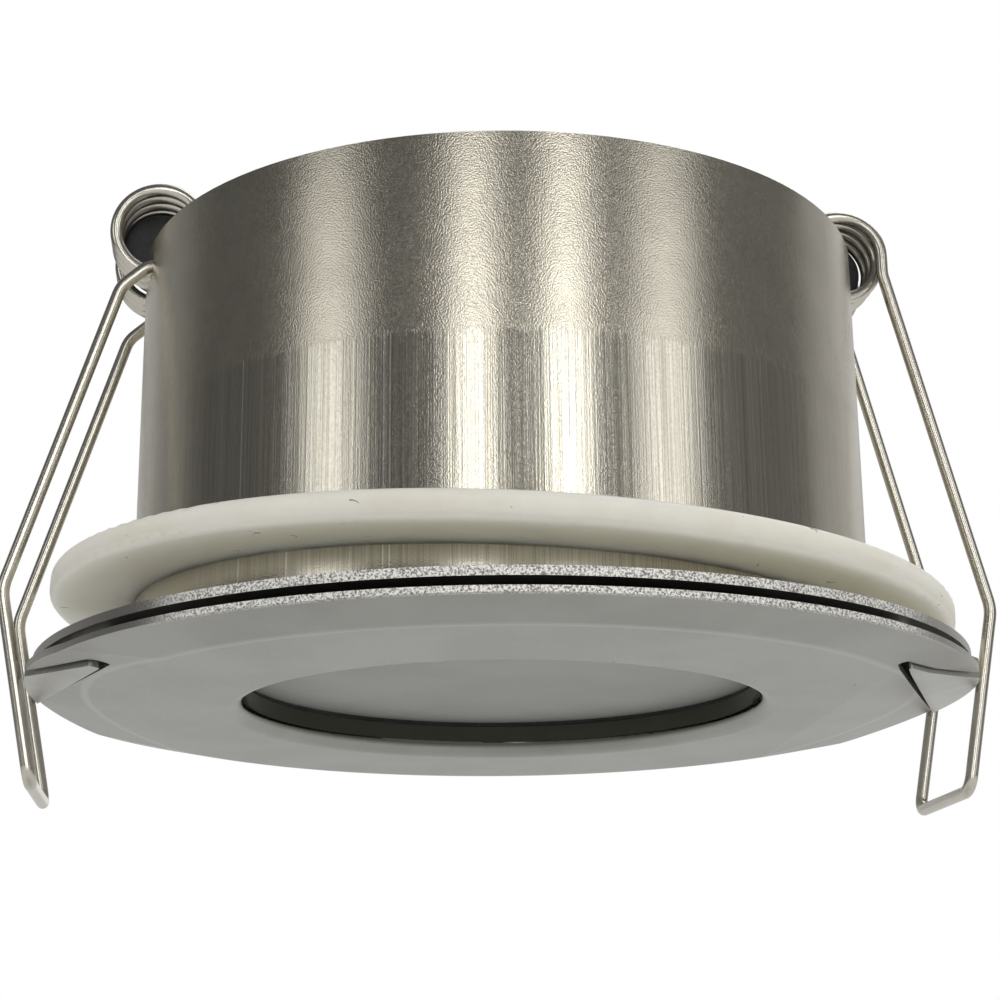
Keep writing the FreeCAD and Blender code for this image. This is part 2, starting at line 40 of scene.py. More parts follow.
cameraSet = {
    "distance": 0.19578,        # level, from the can's axis
    "height": -0.03875,
    "heading": 7.2,             # degrees, from +Y towards +X
    "pitch": 16.16,             # degrees, upwards
    "roll": -0.009,             # radians
    "lens": 73.99,
    "sensor": 36.0,
    "nearest": 0.005,
    "farthest": 20.0,
}

studio = {
    "floorHeight": -0.085,
    "floorSize": 3.0,
    "floorColor": (0.78, 0.78, 0.77),
    "floorRoughness": 0.8,
    "ambient": 0.62,
    "room": (0.10, 0.15),       # how bright metal sees the room, left and right
    "roomSides": 0.8,           # how far to each side those are reached, of 1
    "backdrop": [               # and the backdrop: cosines of the turn from straight back, left, right
        (0.28, 0.42, 0.25, 0.42),
        (0.60, 0.74, 0.44, 0.66),
        (0.90, 0.98, 1.0, 1.0),
    ],
    "backdropSides": 0.7,
    "lampDistance": 1.3,
    "lamps": {                  # degrees to the right of the camera, degrees up, width, height, watts
        "KeyLeft": (-7.5, 10.0, 0.20, 0.75, 1.75),
        "KeyRight": (20.2, 10.0, 0.22, 0.75, 1.95),
        "FillLeft": (-51.5, 15.0, 0.36, 0.50, 0.88),
        "FillRight": (51.0, 15.0, 0.38, 0.50, 0.98),
    },
    "overhead": {"place": (0.5, 0.3, 1.2), "size": 1.0, "watts": 5.0},
}


def addObject(name, data):
    added = bpy.data.objects.new(name, data)
    bpy.context.scene.collection.objects.link(added)
    return added


def objectFromShape(name, shape, material):
    mesh = bpy.data.meshes.new(name)
    shape.to_mesh(mesh)
    shape.free()
    mesh.materials.append(material)
    return addObject(name, mesh)


def cameraDirections(settings):
    # level directions from the object towards the camera, and to the camera's right
    heading = math.radians(settings["heading"])
    towards = Vector((-math.sin(heading), -math.cos(heading), 0))
    right = Vector((math.cos(heading), -math.sin(heading), 0))
    return towards, right


def placeCamera(settings):
    towards, level = cameraDirections(settings)
    pitch = math.radians(settings["pitch"])
    forward = -towards * math.cos(pitch) + Vector((0, 0, math.sin(pitch)))
    above = level.cross(forward)
    right = level * math.cos(settings["roll"]) + above * math.sin(settings["roll"])
    up = right.cross(forward)
    matrix = Matrix((right, up, -forward)).transposed().to_4x4()
    matrix.translation = towards * settings["distance"] + Vector((0, 0, settings["height"]))
    data = bpy.data.cameras.new("Camera")
    data.lens = settings["lens"]
    data.sensor_width = settings["sensor"]
    data.clip_start = settings["nearest"]
    data.clip_end = settings["farthest"]
    camera = addObject("Camera", data)
    camera.matrix_world = matrix
    bpy.context.scene.camera = camera


def addLamp(name, place, width, height, watts):
    # an area lamp that faces the object
    data = bpy.data.lights.new(name, "AREA")
    data.shape = "RECTANGLE"
    data.size = width
    data.size_y = height
    data.energy = watts
    lamp = addObject(name, data)
    lamp.location = place
    lamp.rotation_euler = (-Vector(place)).to_track_quat("-Z", "Y").to_euler()


def addLamps(settings):
    towards, right = cameraDirections(cameraSet)
    for name, (turn, rise, width, height, watts) in settings["lamps"].items():
        turn = math.radians(turn)
        rise = math.radians(rise)
        level = towards * math.cos(turn) + right * math.sin(turn)
        place = (level * math.cos(rise) + Vector((0, 0, math.sin(rise)))) * settings["lampDistance"]
        addLamp(name, place, width, height, watts)
    overhead = settings["overhead"]
    addLamp("Overhead", overhead["place"], overhead["size"], overhead["size"], overhead["watts"])


# small helpers for node trees; a value is a socket or a number

def put(tree, value, socket):
    if isinstance(value, bpy.types.NodeSocket):
        tree.links.new(value, socket)
    elif value is not None:
        socket.default_value = value


def calc(tree, operation, first, second=None, third=None):
    node = tree.nodes.new("ShaderNodeMath")
    node.operation = operation
    put(tree, first, node.inputs[0])
    put(tree, second, node.inputs[1])
    put(tree, third, node.inputs[2])
    return node.outputs[0]


def ramp(tree, value, low, high, toLow=0.0, toHigh=1.0):
    # a smooth step from toLow at low to toHigh at high
    node = tree.nodes.new("ShaderNodeMapRange")
    node.interpolation_type = "SMOOTHSTEP"
    put(tree, value, node.inputs["Value"])
    put(tree, low, node.inputs["From Min"])
    put(tree, high, node.inputs["From Max"])
    put(tree, toLow, node.inputs["To Min"])
    put(tree, toHigh, node.inputs["To Max"])
    return node.outputs[0]


def between(tree, mask, off, on):
    # off where the mask is 0, on where it is 1
    return ramp(tree, mask, 0.0, 1.0, off, on)


def apart(tree, value, middle):
    return calc(tree, "ABSOLUTE", calc(tree, "SUBTRACT", value, middle))


def share(tree, first, firstShare, second):
    # the first value for its share, the second for the rest
    return calc(tree, "MULTIPLY_ADD", first, firstShare, calc(tree, "MULTIPLY", second, 1.0 - firstShare))


def noise(tree, vector, scale, detail=2.0, rough=0.5, dimensions="3D"):
    node = tree.nodes.new("ShaderNodeTexNoise")
    node.noise_dimensions = dimensions
    put(tree, vector, node.inputs["Vector"])
    put(tree, scale, node.inputs["Scale"])
    put(tree, detail, node.inputs["Detail"])
    put(tree, rough, node.inputs["Roughness"])
    return node.outputs[0]


mixSockets = {"first": 6, "second": 7, "result": 2}     # the Mix node's sockets for colours


def blend(tree, factor, first, second):
    # colours are sockets or red, green and blue
    node = tree.nodes.new("ShaderNodeMix")
    node.data_type = "RGBA"
    put(tree, factor, node.inputs["Factor"])
    for color, place in ((first, "first"), (second, "second")):
        color = (*color, 1) if isinstance(color, tuple) else color
        put(tree, color, node.inputs[mixSockets[place]])
    return node.outputs[mixSockets["result"]]


def split(tree, vector):
    node = tree.nodes.new("ShaderNodeSeparateXYZ")
    tree.links.new(vector, node.inputs[0])
    return node.outputs


def merge(tree, x, y, z=0.0):
    node = tree.nodes.new("ShaderNodeCombineXYZ")
    put(tree, x, node.inputs[0])
    put(tree, y, node.inputs[1])
    put(tree, z, node.inputs[2])
    return node.outputs[0]


def streaks(tree, across, spacing, along, change, rough=0.5):
    # lines at a spacing across the surface, which change slowly along it
    flat = merge(tree, calc(tree, "DIVIDE", across, spacing), calc(tree, "MULTIPLY", along, change))
    return noise(tree, flat, 1.0, detail=1.0, rough=rough, dimensions="2D")


def axisDistance(tree, x, y):
    return calc(tree, "SQRT", calc(tree, "MULTIPLY_ADD", x, x, calc(tree, "MULTIPLY", y, y)))


def objectPlace(tree):
    return tree.nodes.new("ShaderNodeTexCoord").outputs["Object"]


def surfaceNormal(tree):
    return split(tree, tree.nodes.new("ShaderNodeNewGeometry").outputs["Normal"])


def newGroup(name, inputs, outputs):
    # an input without a value is a vector, one with a value a number; outputs name their kind
    group = bpy.data.node_groups.new(name, "ShaderNodeTree")
    for title, value in inputs.items():
        kind = "NodeSocketVector" if value is None else "NodeSocketFloat"
        socket = group.interface.new_socket(title, in_out="INPUT", socket_type=kind)
        if value is not None:
            socket.default_value = value
    for title, kind in outputs.items():
        group.interface.new_socket(title, in_out="OUTPUT", socket_type="NodeSocket" + kind)
    start = group.nodes.new("NodeGroupInput")
    end = group.nodes.new("NodeGroupOutput")
    return group, start.outputs, end.inputs


def useGroup(tree, group, values):
    node = tree.nodes.new("ShaderNodeGroup")
    node.node_tree = group
    for title, value in values.items():
        put(tree, value, node.inputs[title])
    return node.outputs


def newMaterial(name, color, metallic=0.0, roughness=0.5):
    material = bpy.data.materials.new(name)
    material.use_nodes = True
    shader = material.node_tree.nodes["Principled BSDF"]
    shader.inputs["Base Color"].default_value = (*color, 1)
    shader.inputs["Metallic"].default_value = metallic
    shader.inputs["Roughness"].default_value = roughness
    return material, material.node_tree, shader


def addBump(tree, shader, height, depth=1.0):
    # a height of 1 stands depth metres proud
    bump = tree.nodes.new("ShaderNodeBump")
    bump.inputs["Distance"].default_value = depth
    bump.inputs["Strength"].default_value = 1.0
    tree.links.new(height, bump.inputs["Height"])
    tree.links.new(bump.outputs[0], shader.inputs["Normal"])


def buildWorld(settings):
    # plain light, a white background, and for metal a backdrop that is whitest behind the object
    world = bpy.data.worlds.new("Studio")
    bpy.context.scene.world = world
    world.use_nodes = True
    tree = world.node_tree
    tree.nodes.clear()
    out = tree.nodes.new("ShaderNodeOutputWorld")
    rays = tree.nodes.new("ShaderNodeLightPath").outputs
    direction = split(tree, tree.nodes.new("ShaderNodeTexCoord").outputs["Generated"])
    heading = math.radians(cameraSet["heading"])
    behind = calc(tree, "MULTIPLY_ADD", direction[0], math.sin(heading),
                  calc(tree, "MULTIPLY", direction[1], math.cos(heading)))
    side = settings["roomSides"]
    mirrored = ramp(tree, direction[0], -side, side, *settings["room"])
    side = settings["backdropSides"]
    for start, end, left, right in settings["backdrop"]:
        bright = ramp(tree, direction[0], -side, side, left, right)
        mirrored = ramp(tree, behind, start, end, mirrored, bright)
    around = between(tree, rays["Is Glossy Ray"], settings["ambient"], mirrored)
    seen = calc(tree, "MAXIMUM", rays["Is Camera Ray"], rays["Is Transmission Ray"])
    back = tree.nodes.new("ShaderNodeBackground")
    back.inputs["Color"].default_value = (1, 1, 1, 1)
    tree.links.new(between(tree, seen, around, 1.0), back.inputs["Strength"])
    tree.links.new(back.outputs[0], out.inputs["Surface"])


def buildFloor(settings):
    material = newMaterial("Floor", settings["floorColor"], roughness=settings["floorRoughness"])[0]
    shape = bmesh.new()
    bmesh.ops.create_grid(shape, x_segments=1, y_segments=1, size=settings["floorSize"] / 2,
                          matrix=Matrix.Translation((0, 0, settings["floorHeight"])))
    floor = objectFromShape("Floor", shape, material)


placeCamera(cameraSet)
buildWorld(studio)
buildFloor(studio)
addLamps(studio)
bpy.context.scene.view_settings.view_transform = "Standard"
print("studio ready")


grainShape = {
    "grainRange": (0.3, 0.7),       # the noise values that become 0 and 1
    "blotchRange": (0.35, 0.65),
}


def makeGrain(look):
    # fine grain and slow blotches, each 0 to 1
    tree, given, out = newGroup("grain", {"Place": None, "Grain Size": 0.0002, "Blotch Size": 0.008},
                                {"Grain": "Float", "Blotch": "Float"})
    fineScale = calc(tree, "DIVIDE", 1.0, given["Grain Size"])
    slowScale = calc(tree, "DIVIDE", 1.0, given["Blotch Size"])
    fine = noise(tree, given["Place"], fineScale, detail=3.0, rough=0.6)
    slow = noise(tree, given["Place"], slowScale, detail=4.0, rough=0.55)
    tree.links.new(ramp(tree, fine, *look["grainRange"]), out["Grain"])
    tree.links.new(ramp(tree, slow, *look["blotchRange"]), out["Blotch"])
    return tree


speckShape = {
    "wobbleScale": 900.0,
    "wobble": 0.0005,               # how far a speck's outline is pulled about
    "hardness": 0.7,                # the part of a speck's size that is fully dark
    "speckShare": (0.55, 0.60),     # cells with a random value above this have a speck
    "hairScale": 850.0,
    "hairWidth": (0.010, 0.032),
    "hairReach": (0.15, 0.19),      # from the cell's middle, in cells
    "hairShare": (0.45, 0.50),
}


def makeSpecks(look):
    # scattered specks and short curly hairs, each as a mask
    tree, given, out = newGroup("specks", {"Place": None, "Spacing": 0.003, "Size": 0.05},
                                {"Mask": "Float", "Hairs": "Float"})
    wobble = tree.nodes.new("ShaderNodeTexNoise")
    put(tree, given["Place"], wobble.inputs["Vector"])
    put(tree, look["wobbleScale"], wobble.inputs["Scale"])
    shift = tree.nodes.new("ShaderNodeVectorMath")
    shift.operation = "MULTIPLY_ADD"
    put(tree, wobble.outputs["Color"], shift.inputs[0])
    put(tree, (look["wobble"],) * 3, shift.inputs[1])
    put(tree, given["Place"], shift.inputs[2])
    cells = tree.nodes.new("ShaderNodeTexVoronoi")
    put(tree, shift.outputs[0], cells.inputs["Vector"])
    put(tree, calc(tree, "DIVIDE", 1.0, given["Spacing"]), cells.inputs["Scale"])
    fromMiddle = cells.outputs["Distance"]
    chosen = split(tree, cells.outputs["Color"])

    dark = calc(tree, "MULTIPLY", given["Size"], look["hardness"])
    speck = ramp(tree, fromMiddle, dark, given["Size"], 1.0, 0.0)
    speckCells = ramp(tree, chosen[0], *look["speckShare"])
    tree.links.new(calc(tree, "MULTIPLY", speck, speckCells), out["Mask"])

    level = apart(tree, noise(tree, given["Place"], look["hairScale"], detail=0.0), 0.5)
    curl = ramp(tree, level, *look["hairWidth"], 1.0, 0.0)
    patch = ramp(tree, fromMiddle, *look["hairReach"], 1.0, 0.0)
    hairCells = ramp(tree, chosen[1], *look["hairShare"])
    tree.links.new(calc(tree, "MULTIPLY", curl, calc(tree, "MULTIPLY", patch, hairCells)), out["Hairs"])
    return tree


tornEdge = {
    "scale": 5000.0,
    "range": (0.40, 0.56),
    "dark": (0.22, 0.21, 0.19),
    "light": (0.92, 0.90, 0.86),
    "depth": 0.00008,
    "dullFrom": 0.027,              # distance to either side where the edge starts to turn smooth
    "dullAt": 0.036,
    "dull": (0.46, 0.45, 0.42),
    "dullDepth": 0.000008,
    "upright": (0.4, 0.8),          # of the normal's z: edge below the first, none above the second
}


def makeTornRim(look):
    # a sheared sheet edge outside a radius: where it is, where it is torn, its colour, its relief in metres
    tree, given, out = newGroup("tornRim", {"Place": None, "Radius": 0.044},
                                {"Mask": "Float", "Torn": "Float", "Color": "Color", "Height": "Float"})
    x, y = split(tree, given["Place"])[:2]
    outer = calc(tree, "GREATER_THAN", axisDistance(tree, x, y), given["Radius"])
    level = calc(tree, "ABSOLUTE", surfaceNormal(tree)[2])
    mask = calc(tree, "MULTIPLY", outer, ramp(tree, level, *look["upright"], 1.0, 0.0))
    tear = noise(tree, given["Place"], look["scale"], detail=3.0, rough=0.7)
    dull = ramp(tree, calc(tree, "ABSOLUTE", x), look["dullFrom"], look["dullAt"])
    color = blend(tree, ramp(tree, tear, *look["range"]), look["dark"], look["light"])
    depth = between(tree, dull, look["depth"], look["dullDepth"])
    tree.links.new(mask, out["Mask"])
    tree.links.new(calc(tree, "MULTIPLY", mask, between(tree, dull, 1.0, 0.0)), out["Torn"])
    tree.links.new(blend(tree, dull, color, look["dull"]), out["Color"])
    tree.links.new(calc(tree, "MULTIPLY", tear, depth), out["Height"])
    return tree


grain = makeGrain(grainShape)
specks = makeSpecks(speckShape)
tornRim = makeTornRim(tornEdge)


def useGrain(tree, place, grainSize, blotchSize):
    return useGroup(tree, grain, {"Place": place, "Grain Size": grainSize, "Blotch Size": blotchSize})


def useSpecks(tree, place, spacing, size):
    return useGroup(tree, specks, {"Place": place, "Spacing": spacing, "Size": size})


canSteel = {
    "light": (0.65, 0.61, 0.51),
    "dark": (0.53, 0.495, 0.415),
    "grainSize": 0.00025,
    "blotchSize": 0.006,
    "grainShare": 0.6,
    "roughness": (0.20, 0.26),
    "peelSize": 0.00014,        # the hammered look of the upper part
    "peelDepth": 0.000015,
    "peelInLines": 0.55,        # what is left of it between the drawn lines
    "radius": 0.0354,
    "lineLight": (0.67, 0.64, 0.55),
    "lineDark": (0.42, 0.39, 0.32),
    "lineContrast": 2.6,
    "lineWidth": 0.00012,
    "lineChange": 40.0,         # how fast a line changes with height
    "broadWidth": 0.00048,
    "broadChange": 25.0,
    "fineShare": 0.6,           # of fine lines, the rest are broad ones
    "lineDepth": 0.000009,
    "lineGloss": -0.02,         # what the lines add to the roughness
    "stepHeight": 0.0228,       # where the drawn lines stop
    "stepRagged": 0.0022,
    "stepWidth": 0.000156,      # of one tooth of that ragged end
    "stepFade": 0.00015,
    "facing": -7.0,             # degrees, middle of the side with the deepest lines
    "facingFade": (24.0, 62.0),     # degrees away from it where they start and end fading
    "faintest": 0.10,
    "scores": (-46.0, -37.4, -22.9, -22.0),     # degrees, single bright lines
    "scoreWidth": (0.0010, 0.0026),     # radians to where one is full, and gone
    "scoreColor": (0.9, 0.88, 0.82),
    "flangeTop": 0.0006,        # flange and keys below this have the bezel's finish
    "keyLight": (0.52, 0.52, 0.495),
    "keyDark": (0.46, 0.46, 0.435),
    "keyRoughness": 0.36,
    "keyRelief": 0.15,          # of the can's relief
    "flangeRadius": 0.0438,     # outside it is the torn edge
    "tornMetallic": 0.3,
}


def makeCanSteel(look):
    material, tree, shader = newMaterial("can_steel", look["light"], metallic=1.0, roughness=0.3)
    place = objectPlace(tree)
    x, y, z = split(tree, place)
    turn = calc(tree, "ARCTAN2", x, calc(tree, "MULTIPLY", y, -1.0))
    around = calc(tree, "MULTIPLY", turn, look["radius"])

    # drawn lines run down from a ragged step, deepest on one side
    fine = streaks(tree, around, look["lineWidth"], z, look["lineChange"])
    broad = streaks(tree, around, look["broadWidth"], z, look["broadChange"])
    lines = share(tree, fine, look["fineShare"], broad)
    teeth = streaks(tree, around, look["stepWidth"], z, 0.0, rough=0.6)
    teeth = calc(tree, "SUBTRACT", teeth, 0.5)
    top = calc(tree, "MULTIPLY_ADD", teeth, look["stepRagged"], look["stepHeight"])
    below = ramp(tree, calc(tree, "SUBTRACT", top, z), 0.0, look["stepFade"])
    away = apart(tree, turn, math.radians(look["facing"]))
    fadeStart, fadeEnd = map(math.radians, look["facingFade"])
    drawn = calc(tree, "MULTIPLY", below, ramp(tree, away, fadeStart, fadeEnd, 1.0, look["faintest"]))

    # single scored lines
    scored = 0.0
    for degrees in look["scores"]:
        line = ramp(tree, apart(tree, turn, math.radians(degrees)), *look["scoreWidth"], 1.0, 0.0)
        scored = calc(tree, "MAXIMUM", scored, line)
    scored = calc(tree, "MULTIPLY", scored, below)

    # the wall's colour, gloss and relief
    parts = useGrain(tree, place, look["grainSize"], look["blotchSize"])
    mottle = share(tree, parts["Grain"], look["grainShare"], parts["Blotch"])
    plain = blend(tree, mottle, look["dark"], look["light"])
    contrast = calc(tree, "MULTIPLY_ADD", calc(tree, "SUBTRACT", lines, 0.5), look["lineContrast"], 0.5)
    lined = blend(tree, contrast, look["lineDark"], look["lineLight"])
    wallColor = blend(tree, scored, blend(tree, drawn, plain, lined), look["scoreColor"])
    gloss = between(tree, parts["Grain"], *look["roughness"])
    gloss = calc(tree, "MULTIPLY_ADD", drawn, look["lineGloss"], gloss)
    peel = noise(tree, place, 1.0 / look["peelSize"], detail=1.0)
    peelHeight = calc(tree, "MULTIPLY", peel, look["peelDepth"])
    peelHeight = calc(tree, "MULTIPLY", peelHeight, between(tree, below, 1.0, look["peelInLines"]))
    lineHeight = calc(tree, "MULTIPLY", lines, look["lineDepth"])
    height = calc(tree, "MULTIPLY_ADD", lineHeight, drawn, peelHeight)

    # the flange and its keys, and their torn edge
    flange = ramp(tree, z, 0.0, look["flangeTop"], 1.0, 0.0)
    rim = useGroup(tree, tornRim, {"Place": place, "Radius": look["flangeRadius"]})
    rimMask = calc(tree, "MULTIPLY", rim["Mask"], flange)
    torn = calc(tree, "MULTIPLY", rim["Torn"], flange)
    keyColor = blend(tree, parts["Blotch"], look["keyDark"], look["keyLight"])
    keyColor = blend(tree, rimMask, keyColor, rim["Color"])
    height = calc(tree, "MULTIPLY", height, between(tree, flange, 1.0, look["keyRelief"]))
    tree.links.new(blend(tree, flange, wallColor, keyColor), shader.inputs["Base Color"])
    tree.links.new(between(tree, torn, 1.0, look["tornMetallic"]), shader.inputs["Metallic"])
    tree.links.new(between(tree, flange, gloss, look["keyRoughness"]), shader.inputs["Roughness"])
    addBump(tree, shader, calc(tree, "MULTIPLY_ADD", rimMask, rim["Height"], height))
    return material


bezelSteel = {
    "light": (0.415, 0.412, 0.388),
    "dark": (0.355, 0.352, 0.330),
    "grainSize": 0.00022,
    "blotchSize": 0.012,
    "grainShare": 0.25,
    "grainDepth": 0.0000012,
    "roughness": (0.33, 0.42),
    "bendRadius": 0.0395,       # a painted highlight line where the rim starts to rise
    "bendWidth": (0.0001, 0.0006),
    "bendHighlightStrength": 0.6,
    "bendHighlightColor": (0.52, 0.52, 0.50),
    "speck": (0.10, 0.10, 0.09),
    "speckSpacing": 0.011,
    "speckSize": 0.016,
    "rimRadius": 0.0445,        # outside it is the torn edge
    "tornMetallic": 0.3,
    "faceHeight": -0.0035,
    "collarRadius": 0.0262,     # the collar round the opening is polished, with painted shade darkening its colour
    "collarFade": 0.0006,
    "collarStart": (0.0006, 0.0012),    # above the face
    "collarShadeColor": (0.09, 0.09, 0.075),
    "collarRoughness": 0.09,
}


def makeBezelSteel(look):
    material, tree, shader = newMaterial("bezel_steel", look["light"], metallic=1.0, roughness=0.36)
    place = objectPlace(tree)
    x, y, z = split(tree, place)
    radius = axisDistance(tree, x, y)
    parts = useGrain(tree, place, look["grainSize"], look["blotchSize"])
    mottle = share(tree, parts["Grain"], look["grainShare"], parts["Blotch"])
    color = blend(tree, mottle, look["dark"], look["light"])
    # painted highlight: a lighter line along the bend
    fromBend = apart(tree, radius, look["bendRadius"])
    bendHighlight = ramp(tree, fromBend, *look["bendWidth"], look["bendHighlightStrength"], 0.0)
    color = blend(tree, bendHighlight, color, look["bendHighlightColor"])
    dirt = useSpecks(tree, place, look["speckSpacing"], look["speckSize"])["Mask"]
    color = blend(tree, dirt, color, look["speck"])
    rim = useGroup(tree, tornRim, {"Place": place, "Radius": look["rimRadius"]})
    color = blend(tree, rim["Mask"], color, rim["Color"])

    # the collar is what stands above the face, near the opening
    outside = look["collarRadius"]
    nearOpening = ramp(tree, radius, outside - look["collarFade"], outside, 1.0, 0.0)
    start, end = (look["faceHeight"] + above for above in look["collarStart"])
    collar = calc(tree, "MULTIPLY", nearOpening, ramp(tree, z, start, end))
    gloss = between(tree, parts["Grain"], *look["roughness"])
    fineHeight = calc(tree, "MULTIPLY", parts["Grain"], look["grainDepth"])
    # painted shade: the collar gets a dark colour
    tree.links.new(blend(tree, collar, color, look["collarShadeColor"]), shader.inputs["Base Color"])
    tree.links.new(between(tree, rim["Torn"], 1.0, look["tornMetallic"]), shader.inputs["Metallic"])
    tree.links.new(between(tree, collar, gloss, look["collarRoughness"]), shader.inputs["Roughness"])
    addBump(tree, shader, calc(tree, "MULTIPLY_ADD", rim["Mask"], rim["Height"], fineHeight))
    return material


springSteel = {
    "light": (0.68, 0.65, 0.58),
    "dark": (0.58, 0.55, 0.48),
    "grainSize": 0.00018,
    "blotchSize": 0.006,
    "grainShare": 0.6,
    "roughness": (0.24, 0.27),
}


def makeSpringSteel(look):
    material, tree, shader = newMaterial("spring_steel", look["light"], metallic=1.0, roughness=0.3)
    parts = useGrain(tree, objectPlace(tree), look["grainSize"], look["blotchSize"])
    mottle = share(tree, parts["Grain"], look["grainShare"], parts["Blotch"])
    tree.links.new(blend(tree, mottle, look["dark"], look["light"]), shader.inputs["Base Color"])
    tree.links.new(between(tree, parts["Grain"], *look["roughness"]), shader.inputs["Roughness"])
    return material


silicone = {
    "light": (0.74, 0.70, 0.605),
    "dark": (0.67, 0.63, 0.53),
    "under": (0.95, 0.885, 0.73),       # painted light: the underside is coloured lighter than the top
    "underFacing": (-0.9, -0.4),
    "grainSize": 0.0006,
    "blotchSize": 0.009,
    "grainDepth": 0.000012,
    "roughness": (0.46, 0.36),
    "speck": (0.12, 0.10, 0.07),
    "speckSize": 0.045,
    "speckSpacing": 0.0036,
    "crumbSpacing": 0.0019,
    "crumbStrength": 0.45,
    "hairStrength": 0.85,
    "lightReach": (0.0090, 0.0084, 0.0072),
}


def makeSilicone(look):
    material, tree, shader = newMaterial("silicone", look["light"], roughness=0.42)
    place = objectPlace(tree)
    parts = useGrain(tree, place, look["grainSize"], look["blotchSize"])
    color = blend(tree, parts["Blotch"], look["dark"], look["light"])
    # painted light: faces turned downwards get the lighter underside colour
    under = ramp(tree, surfaceNormal(tree)[2], *look["underFacing"], 1.0, 0.0)
    color = blend(tree, under, color, look["under"])
    dirt = useSpecks(tree, place, look["speckSpacing"], look["speckSize"])
    crumbs = useSpecks(tree, place, look["crumbSpacing"], look["speckSize"])["Mask"]
    marks = calc(tree, "MAXIMUM", dirt["Mask"], calc(tree, "MULTIPLY", crumbs, look["crumbStrength"]))
    marks = calc(tree, "MAXIMUM", marks, calc(tree, "MULTIPLY", dirt["Hairs"], look["hairStrength"]))
    tree.links.new(blend(tree, marks, color, look["speck"]), shader.inputs["Base Color"])
    tree.links.new(between(tree, parts["Blotch"], *look["roughness"]), shader.inputs["Roughness"])
    shader.inputs["Subsurface Weight"].default_value = 1.0
    shader.inputs["Subsurface Radius"].default_value = look["lightReach"]
    shader.inputs["Subsurface Scale"].default_value = 1.0
    addBump(tree, shader, parts["Grain"], look["grainDepth"])
    return material


frostedGlass = {
    "light": (0.46, 0.46, 0.437),
    "dark": (0.415, 0.415, 0.39),
    # painted shade: the glass is coloured darker towards the rim of the opening
    "edge": (0.40, 0.40, 0.375),
    "edgeShadeStart": 0.0190,
    "edgeShadeEnd": 0.0250,
    "grainSize": 0.00016,
    "blotchSize": 0.014,
    "grainDepth": 0.000004,
    "roughness": (0.46, 0.60),
    "transmission": 0.25,
}


def makeFrostedGlass(look):
    material, tree, shader = newMaterial("frosted_glass", look["light"])
    place = objectPlace(tree)
    parts = useGrain(tree, place, look["grainSize"], look["blotchSize"])
    color = blend(tree, parts["Blotch"], look["dark"], look["light"])
    x, y = split(tree, place)[:2]
    # painted shade, darker towards the rim of the opening
    edge = ramp(tree, axisDistance(tree, x, y), look["edgeShadeStart"], look["edgeShadeEnd"])
    tree.links.new(blend(tree, edge, color, look["edge"]), shader.inputs["Base Color"])
    tree.links.new(between(tree, parts["Grain"], *look["roughness"]), shader.inputs["Roughness"])
    shader.inputs["Transmission Weight"].default_value = look["transmission"]
    shader.inputs["IOR"].default_value = 1.5
    addBump(tree, shader, parts["Grain"], look["grainDepth"])
    return material


turnedAluminium = {
    "light": (0.80, 0.80, 0.82),
    "dark": (0.66, 0.66, 0.68),
    "ringPitch": 0.00022,
    "ringChange": 900.0,
    "ringShare": 0.6,           # of the rings in the tone, the rest are blotches
    "ringRange": (0.3, 0.7),
    "ringDepth": 0.000008,
    "grainSize": 0.0002,
    "blotchSize": 0.01,
    "roughness": (0.24, 0.36),
}


def makeTurnedAluminium(look):
    material, tree, shader = newMaterial("turned_aluminium", look["light"], metallic=1.0, roughness=0.32)
    place = objectPlace(tree)
    x, y, z = split(tree, place)
    rings = streaks(tree, axisDistance(tree, x, y), look["ringPitch"], z, look["ringChange"])
    blotch = useGrain(tree, place, look["grainSize"], look["blotchSize"])["Blotch"]
    mottle = share(tree, rings, look["ringShare"], blotch)
    tree.links.new(blend(tree, mottle, look["dark"], look["light"]), shader.inputs["Base Color"])
    gloss = ramp(tree, rings, *look["ringRange"], *look["roughness"])
    tree.links.new(gloss, shader.inputs["Roughness"])
    addBump(tree, shader, rings, look["ringDepth"])
    return material


millimetre = 0.001
plainGrainShare = 0.3

